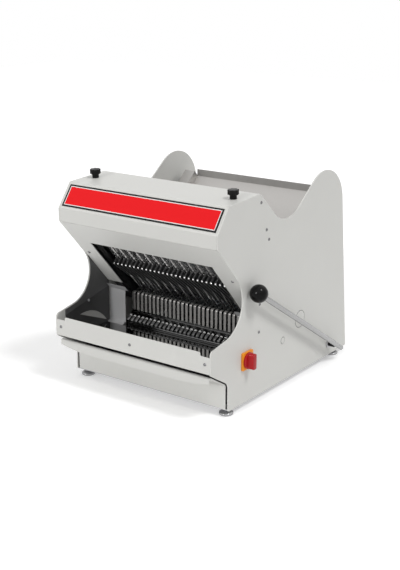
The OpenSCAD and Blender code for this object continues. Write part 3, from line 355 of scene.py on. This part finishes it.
def labelMaterial(node):
    low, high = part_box(node)
    run, rise = high.y - low.y, high.z - low.z
    mat, tree, shader, place = startMaterial("labelRedPrint")
    onPlate = addNode(tree, "ShaderNodeMapping", vector_type="TEXTURE", Vector=place,
                      Location=(low + high) / 2, Rotation=(math.atan2(rise, run), 0, 0))
    split = addNode(tree, "ShaderNodeSeparateXYZ", Vector=onPlate.outputs["Vector"])
    halves = {"X": (high.x - low.x) / 2, "Y": math.hypot(run, rise) / 2}
    inward = [addMath(tree, "SUBTRACT", half, addMath(tree, "ABSOLUTE", split.outputs[axis]))
              for axis, half in halves.items()]
    border = labelPrint["rim"] + labelPrint["line"]
    share = addMath(tree, "DIVIDE", addMath(tree, "MINIMUM", *inward), 2 * border / perMetre)
    printed = rampFrom(tree, share, [
        (0.0, labelPrint["black"]), (labelPrint["rim"] / border / 2, labelPrint["white"]),
        (0.5, labelPrint["red"])], "CONSTANT")
    tree.links.new(printed, shader.inputs["Base Color"])
    fine = noiseOn(tree, place, evenly, labelPrint["grain"], labelPrint["grainDetail"])
    glossFrom(tree, fine, shader, *labelPrint["rough"])
    shader.inputs["Specular IOR Level"].default_value = labelPrint["specular"]
    bumpFrom(tree, fine, shader, labelPrint["bump"], labelPrint["bumpDepth"])
    return mat


finishes["label"] = labelMaterial("label_plate")
print("finishes:", len(finishes))

nodeFinish = {
    "paint": ["left_side_panel", "right_side_panel", "rear_panel", "hood_cover", "guard_plate", "nose_plate",
              "drawer_front"],
    "plug": ["hole_plugs"],
    "shadedInnerPaint": ["hopper_front_plate"],
    "chute": ["hopper_chute"],
    "trough": ["outfeed_trough"],
    "comb": ["outfeed_comb"],
    "cheek": ["left_cheek", "right_cheek", "crumb_drawer"],
    "finger": ["pusher_fingers", "pusher_bar", "left_pusher_arm", "right_pusher_arm"],
    "frontBlade": ["front_blades"],
    "rearBlade": ["rear_blades"],
    "rod": ["lever_rod", "lever_shaft", "crankshaft", "motor_shaft", "tie_bars"],
    "zinc": ["left_lever_bush", "right_lever_bush", "hood_brackets", "base_plate", "motor_bracket"],
    "screw": ["panel_screws", "front_screws", "front_clamp_screws"],
    "chrome": ["feet"],
    "liner": ["side_liners"],
    "boxPlastic": ["switch_body"],
    "iron": ["front_blade_frame", "rear_blade_frame", "front_yoke", "rear_yoke"],
    "casting": ["left_crank_bearing", "right_crank_bearing", "crank_pulley", "motor_pulley"],
    "motor": ["motor_body"],
    "ball": ["lever_ball"],
    "knob": ["lever_boss", "left_hood_knob", "right_hood_knob", "cable_gland"],
    "rubber": ["drive_belt", "arm_stops"],
    "slide": ["left_frame_guide", "right_frame_guide", "drawer_runners"],
    "orange": ["switch_plate"],
    "red": ["switch_knob"],
    "label": ["label_plate"],
}
finishOf = {name: finish for finish, names in nodeFinish.items() for name in names}
for name, obj in nodes.items():
    obj.data.materials.clear()
    obj.data.materials.append(finishes[finishOf[name]])
print("nodes finished:", len(nodes))


def bodyOf(node):
    return next(body for body, names in frame["record"]["behaviour"]["bodies"].items() if node in names)


# a piece that hides no node rides on that node's body
def addPiece(name, mesh, node, hides=True):
    obj = bpy.data.objects.new(name, mesh)
    scene.collection.objects.link(obj)
    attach(obj, bodyOf(node))
    if hides:
        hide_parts(node)


def smoothMesh(mesh, angle):
    mesh.shade_smooth()
    mesh.set_sharp_from_angle(angle=math.radians(angle))


# sheet and moulded pieces with their edges broken by so many mm, so that the edges catch the light
edgeBreaks = {
    "left_side_panel": 0.9, "right_side_panel": 0.9, "hood_cover": 0.5, "nose_plate": 0.6,
    "drawer_front": 0.6, "guard_plate": 0.5, "hopper_front_plate": 0.5, "hopper_chute": 0.5,
    "rear_panel": 0.5, "label_plate": 0.25, "switch_plate": 1.4, "switch_knob": 2.4, "left_cheek": 0.5,
    "right_cheek": 0.5, "outfeed_trough": 0.4, "lever_boss": 1.0, "right_lever_bush": 0.9,
    "left_lever_bush": 0.9, "hole_plugs": 0.4, "outfeed_comb": 0.4, "left_hood_knob": 1.2,
    "right_hood_knob": 1.2, "lever_rod": 1.5, "pusher_fingers": 0.6, "feet": 0.8, "cable_gland": 0.8,
}
# angles in degrees; a face larger than flatArea, in square metres, is shaded flat
edgeSetup = {"mergeWithin": 1e-6, "flatAngle": 0.6, "sharpAngle": 30, "segments": 2, "smoothAngle": 50,
             "flatArea": 0.0025}


def breakEdges(node, width):
    bm = bmesh.new()
    bm.from_mesh(nodes[node].data)
    bmesh.ops.remove_doubles(bm, verts=bm.verts, dist=edgeSetup["mergeWithin"])
    bmesh.ops.dissolve_limit(bm, angle_limit=math.radians(edgeSetup["flatAngle"]), verts=bm.verts,
                             edges=bm.edges)
    least = math.radians(edgeSetup["sharpAngle"])
    sharp = [e for e in bm.edges if len(e.link_faces) == 2 and e.calc_face_angle(0) > least]
    bmesh.ops.bevel(bm, geom=sharp, offset=width / perMetre, offset_type="OFFSET",
                    segments=edgeSetup["segments"], profile=0.5, affect="EDGES", clamp_overlap=True)
    mesh = bpy.data.meshes.new(node + "Edges")
    bm.to_mesh(mesh)
    bm.free()
    smoothMesh(mesh, edgeSetup["smoothAngle"])
    for face in mesh.polygons:
        if face.area > edgeSetup["flatArea"]:
            face.use_smooth = False
    mesh.materials.append(finishes[finishOf[node]])
    addPiece(node + "_finished", mesh, node)


for node, width in edgeBreaks.items():
    breakEdges(node, width)
print("edges broken on", len(edgeBreaks), "pieces")


# Geometry Nodes for what repeats: a tree, its named inputs and the plain mesh that it leaves

def startTree(name, inputs):
    tree = bpy.data.node_groups.new(name, "GeometryNodeTree")
    tree.interface.new_socket("Geometry", in_out="INPUT", socket_type="NodeSocketGeometry")
    for label, kind in inputs.items():
        tree.interface.new_socket(label, in_out="INPUT", socket_type="NodeSocket" + kind)
    tree.interface.new_socket("Geometry", in_out="OUTPUT", socket_type="NodeSocketGeometry")
    given = tree.nodes.new("NodeGroupInput").outputs
    return tree, given


def endTree(tree, geometry, material):
    real = addNode(tree, "GeometryNodeRealizeInstances", Geometry=geometry)
    painted = addNode(tree, "GeometryNodeSetMaterial", Geometry=real.outputs[0], Material=material)
    addNode(tree, "NodeGroupOutput", Geometry=painted.outputs[0])


# each seed is a place and the direction that its copy faces
def growMesh(name, tree, values, seeds):
    mesh = bpy.data.meshes.new(name + "Seeds")
    mesh.from_pydata([place for place, _ in seeds], [], [])
    facing = mesh.attributes.new("facing", "FLOAT_VECTOR", "POINT")
    for i, (_, direction) in enumerate(seeds):
        facing.data[i].vector = direction
    obj = bpy.data.objects.new(name + "Seeds", mesh)
    scene.collection.objects.link(obj)
    grower = obj.modifiers.new(name, "NODES")
    grower.node_group = tree
    for item in tree.interface.items_tree:
        if item.in_out == "INPUT" and item.name in values:
            grower[item.identifier] = values[item.name]
    grown = bpy.data.meshes.new_from_object(obj.evaluated_get(bpy.context.evaluated_depsgraph_get()))
    obj.modifiers.remove(grower)
    bpy.data.objects.remove(obj)
    return grown


# blades: one scalloped strip, repeated across the frame; its own x is the blade's width and its y the length
bladeMesh = {"stepsPerTooth": 4, "rowsAcross": 3, "edgeStart": 0.0001, "mergeWithin": 0.00001,
             "smoothAngle": 100}


def bladeTree():
    tree, given = startTree("scallopedBlades", {
        "Width": "Float", "Length": "Float", "Thickness": "Float", "Tooth Count": "Int",
        "Tooth Depth": "Float", "Material": "Material"})
    rows = addMath(tree, "MULTIPLY_ADD", given["Tooth Count"], bladeMesh["stepsPerTooth"], 1)
    strip = addNode(tree, "GeometryNodeMeshGrid", **{
        "Size X": given["Width"], "Size Y": given["Length"], "Vertices X": bladeMesh["rowsAcross"],
        "Vertices Y": rows})
    place = addNode(tree, "GeometryNodeInputPosition")
    split = addNode(tree, "ShaderNodeSeparateXYZ", Vector=place.outputs[0])
    share = addMath(tree, "DIVIDE", split.outputs["Y"], given["Length"])
    turns = addMath(tree, "MULTIPLY", share, given["Tooth Count"])
    wave = addMath(tree, "SINE", addMath(tree, "MULTIPLY", turns, math.pi))
    cutBack = addMath(tree, "MULTIPLY", addMath(tree, "ABSOLUTE", wave), given["Tooth Depth"])
    atEdge = addMath(tree, "GREATER_THAN", split.outputs["X"], bladeMesh["edgeStart"])
    shift = addMath(tree, "MULTIPLY", addMath(tree, "MULTIPLY", cutBack, atEdge), -1)
    move = addNode(tree, "ShaderNodeCombineXYZ", X=shift)
    toothed = addNode(tree, "GeometryNodeSetPosition", Geometry=strip.outputs["Mesh"], Offset=move.outputs[0])
    drop = addNode(tree, "ShaderNodeCombineXYZ", Z=addMath(tree, "DIVIDE", given["Thickness"], -2))
    lowered = addNode(tree, "GeometryNodeTransform", Geometry=toothed.outputs[0], Translation=drop.outputs[0])
    thick = addNode(tree, "GeometryNodeExtrudeMesh", **{
        "Mesh": lowered.outputs[0], "Offset Scale": given["Thickness"], "Individual": False})
    under = addNode(tree, "GeometryNodeFlipFaces", Mesh=lowered.outputs[0])
    both = addNode(tree, "GeometryNodeJoinGeometry", Geometry=thick.outputs["Mesh"])
    tree.links.new(under.outputs[0], both.inputs[0])
    whole = addNode(tree, "GeometryNodeMergeByDistance", Geometry=both.outputs[0],
                    Distance=bladeMesh["mergeWithin"])
    upright = addNode(tree, "FunctionNodeEulerToRotation", Euler=(math.pi / 2, 0, math.pi / 2))
    leaning = addNode(tree, "FunctionNodeEulerToRotation", Euler=(bladeLean, 0, 0))
    turned = addNode(tree, "FunctionNodeRotateRotation", **{
        "Rotation": upright.outputs[0], "Rotate By": leaning.outputs[0]})
    spread = addNode(tree, "GeometryNodeInstanceOnPoints", Points=given["Geometry"],
                     Instance=whole.outputs[0], Rotation=turned.outputs[0])
    endTree(tree, spread.outputs[0], given["Material"])
    return tree


def bladeX(i):
    return (i - bladeSetup["count"] / 2) * bladeSetup["pitch"]


def addBlades(tree, node, first, place):
    middle = (bladeSetup["top"] + bladeSetup["low"]) / 2
    inward = place + bladeSetup["width"] / 2
    seeds = [(alongBlades(bladeX(i), middle, inward), -bladeOut)
             for i in range(first, bladeSetup["count"], 2)]
    mesh = growMesh(node, tree, {
        "Width": bladeSetup["width"] / perMetre, "Length": (bladeSetup["low"] - bladeSetup["top"]) / perMetre,
        "Thickness": bladeSetup["thickness"] / perMetre, "Tooth Count": bladeSetup["toothCount"],
        "Tooth Depth": bladeSetup["toothDepth"] / perMetre, "Material": finishes[finishOf[node]]}, seeds)
    smoothMesh(mesh, bladeMesh["smoothAngle"])
    addPiece(node + "_toothed", mesh, node)


bladeMaker = bladeTree()
addBlades(bladeMaker, "front_blades", 1, bladeSetup["frontPlace"])
addBlades(bladeMaker, "rear_blades", 2, bladeSetup["rearPlace"])
print("blades toothed")


# screw heads: a low dome with a cross recess, set on each place and turned to face outwards
screwSetup = {"radius": 4.5, "height": 2.5, "recessWidth": 1.2, "recessDepth": 1.3, "recessReach": 1.15,
              "segments": 24, "rings": 12, "smoothAngle": 35}


def screwTree():
    tree, given = startTree("crossHeadScrews", {
        "Radius": "Float", "Height": "Float", "Recess Width": "Float", "Recess Depth": "Float",
        "Material": "Material"})
    ball = addNode(tree, "GeometryNodeMeshUVSphere", Segments=screwSetup["segments"],
                   Rings=screwSetup["rings"], Radius=given["Radius"])
    flatness = addMath(tree, "DIVIDE", given["Height"], given["Radius"])
    shape = addNode(tree, "ShaderNodeCombineXYZ", X=1.0, Y=1.0, Z=flatness)
    dome = addNode(tree, "GeometryNodeTransform", Geometry=ball.outputs[0], Scale=shape.outputs[0])
    reach = addMath(tree, "MULTIPLY", given["Radius"], screwSetup["recessReach"])
    depth = addMath(tree, "MULTIPLY", given["Recess Depth"], 2)
    lift = addNode(tree, "ShaderNodeCombineXYZ", Z=given["Height"])
    recess = addNode(tree, "GeometryNodeMeshBoolean", operation="DIFFERENCE", solver="EXACT")
    tree.links.new(dome.outputs[0], recess.inputs["Mesh 1"])
    for along, across in ((reach, given["Recess Width"]), (given["Recess Width"], reach)):
        size = addNode(tree, "ShaderNodeCombineXYZ", X=along, Y=across, Z=depth)
        bar = addNode(tree, "GeometryNodeMeshCube", Size=size.outputs[0])
        cutter = addNode(tree, "GeometryNodeTransform", Geometry=bar.outputs[0], Translation=lift.outputs[0])
        tree.links.new(cutter.outputs[0], recess.inputs["Mesh 2"])
    facing = addNode(tree, "GeometryNodeInputNamedAttribute", data_type="FLOAT_VECTOR", Name="facing")
    turn = addNode(tree, "FunctionNodeAlignRotationToVector", axis="Z", Vector=facing.outputs[0])
    spread = addNode(tree, "GeometryNodeInstanceOnPoints", Points=given["Geometry"],
                     Instance=recess.outputs[0], Rotation=turn.outputs[0])
    endTree(tree, spread.outputs[0], given["Material"])
    return tree


def screwHeads(tree, name, seeds, radius, height, finish="screw"):
    mesh = growMesh(name, tree, {
        "Radius": radius / perMetre, "Height": height / perMetre,
        "Recess Width": screwSetup["recessWidth"] / perMetre,
        "Recess Depth": screwSetup["recessDepth"] / perMetre, "Material": finishes[finish]}, seeds)
    smoothMesh(mesh, screwSetup["smoothAngle"])
    return mesh


def addScrews(tree, node, seeds, radius=screwSetup["radius"], height=screwSetup["height"]):
    addPiece(node + "_heads", screwHeads(tree, node, seeds, radius, height), node)


screwMaker = screwTree()

# side liners: one screw on each, which only the scene has
linerScrews = {"face": 264.5, "place": (54, 197), "height": 1.8}
linerSeeds = [(spot(side * linerScrews["face"], *linerScrews["place"]), (-side, 0, 0)) for side in (-1, 1)]
linerHeads = screwHeads(screwMaker, "liner_screws", linerSeeds, screwSetup["radius"], linerScrews["height"],
                        "zinc")
addPiece("liner_screws_heads", linerHeads, "side_liners", hides=False)

# side panels: the same (y, z) places on both
panelScrews = {"face": 270.0, "places": ((145, 543), (173, 464), (186, 435), (145, 263), (143, 184))}
panelSeeds = [(spot(side * panelScrews["face"], y, z), (side, 0, 0))
              for side in (-1, 1) for y, z in panelScrews["places"]]
addScrews(screwMaker, "panel_screws", panelSeeds)

# nose plate and guard plate
noseScrews = {"face": -81.0, "height": 155.5, "places": (-251, 0, 251)}
guardScrews = {"down": 146.0, "places": (-249, 249)}
frontSeeds = [(spot(x, noseScrews["face"], noseScrews["height"]), (0, -1, 0)) for x in noseScrews["places"]]
frontSeeds += [(alongBlades(x, guardScrews["down"], 0), bladeOut) for x in guardScrews["places"]]
addScrews(screwMaker, "front_screws", frontSeeds)

# one clamp screw for each front blade
clampScrews = {"radius": 3.5, "height": 2.5, "down": 112.0, "inward": 18.0}
clampSeeds = [(alongBlades(bladeX(i), clampScrews["down"], clampScrews["inward"]), bladeOut)
              for i in range(1, bladeSetup["count"], 2)]
addScrews(screwMaker, "front_clamp_screws", clampSeeds, clampScrews["radius"], clampScrews["height"])
print("screw heads set")


# floor, light and camera
stageSetup = {"floorSize": 14.0, "floorCells": 8, "floorColour": (0.92, 0.92, 0.92), "floorRough": 0.8,
              "floorSpecular": 0.1, "floorGlow": 0.28, "worldLight": 0.27, "worldSeen": 1.0}
white = (1, 1, 1, 1)
sunSetup = {  # where each lamp stands, its strength and its spread in degrees
    "frontLamp": ((-0.05, -0.93, 0.35), 1.02, 8.0),
    "sideLamp": ((0.56, -0.03, 0.83), 1.20, 14.0),
    "topLamp": ((0.0, -0.1, 1.0), 0.80, 120.0),
}


# what the camera and the reflections see of the floor and the world is lifted towards white
def seenDirectly(tree):
    path = addNode(tree, "ShaderNodeLightPath").outputs
    return addMath(tree, "MAXIMUM", path["Is Camera Ray"], path["Is Glossy Ray"])


def addFloor():
    mesh = bpy.data.meshes.new("studioFloor")
    bm = bmesh.new()
    bmesh.ops.create_grid(bm, x_segments=stageSetup["floorCells"], y_segments=stageSetup["floorCells"],
                          size=stageSetup["floorSize"] / 2)
    bm.to_mesh(mesh)
    bm.free()
    mat, tree, shader, _ = startMaterial("studioFloor")
    shader.inputs["Base Color"].default_value = (*stageSetup["floorColour"], 1)
    shader.inputs["Roughness"].default_value = stageSetup["floorRough"]
    shader.inputs["Specular IOR Level"].default_value = stageSetup["floorSpecular"]
    shader.inputs["Emission Color"].default_value = white
    lift = addMath(tree, "MULTIPLY", seenDirectly(tree), stageSetup["floorGlow"])
    tree.links.new(lift, shader.inputs["Emission Strength"])
    mesh.materials.append(mat)
    floor = bpy.data.objects.new("studioFloor", mesh)
    scene.collection.objects.link(floor)


def addWorld():
    world = bpy.data.worlds.new("studioWorld")
    scene.world = world
    world.use_nodes = True
    tree = world.node_tree
    back = tree.nodes["Background"]
    back.inputs["Color"].default_value = white
    strength = addNode(tree, "ShaderNodeMapRange", **{
        "Value": seenDirectly(tree), "To Min": stageSetup["worldLight"], "To Max": stageSetup["worldSeen"]})
    tree.links.new(strength.outputs["Result"], back.inputs["Strength"])


def addSun(name, place, strength, spread):
    light = bpy.data.lights.new(name, "SUN")
    light.energy = strength
    light.angle = math.radians(spread)
    lamp = bpy.data.objects.new(name, light)
    lamp.rotation_euler = (-Vector(place)).to_track_quat("-Z", "Y").to_euler()
    scene.collection.objects.link(lamp)


# the photograph's view: angles in degrees, the focal length in pixels of an image this high
cameraSetup = {"place": (1767.98, -2184.49, 1165.38), "azimuth": 36.068, "elevation": 17.0525,
               "focalPixels": 1079.468, "imageHeight": 570, "sensorWidth": 36}


def addCamera():
    az, el = math.radians(cameraSetup["azimuth"]), math.radians(cameraSetup["elevation"])
    ahead = Vector((-math.sin(az) * math.cos(el), math.cos(az) * math.cos(el), -math.sin(el)))
    data = bpy.data.cameras.new("photoCamera")
    data.sensor_width = cameraSetup["sensorWidth"]
    data.lens = cameraSetup["focalPixels"] / cameraSetup["imageHeight"] * data.sensor_width
    camera = bpy.data.objects.new("photoCamera", data)
    camera.location = spot(*cameraSetup["place"])
    camera.rotation_euler = ahead.to_track_quat("-Z", "Y").to_euler()
    scene.collection.objects.link(camera)
    scene.camera = camera


addFloor()
addWorld()
for name, (place, strength, spread) in sunSetup.items():
    addSun(name, place, strength, spread)
addCamera()
print("stage ready")
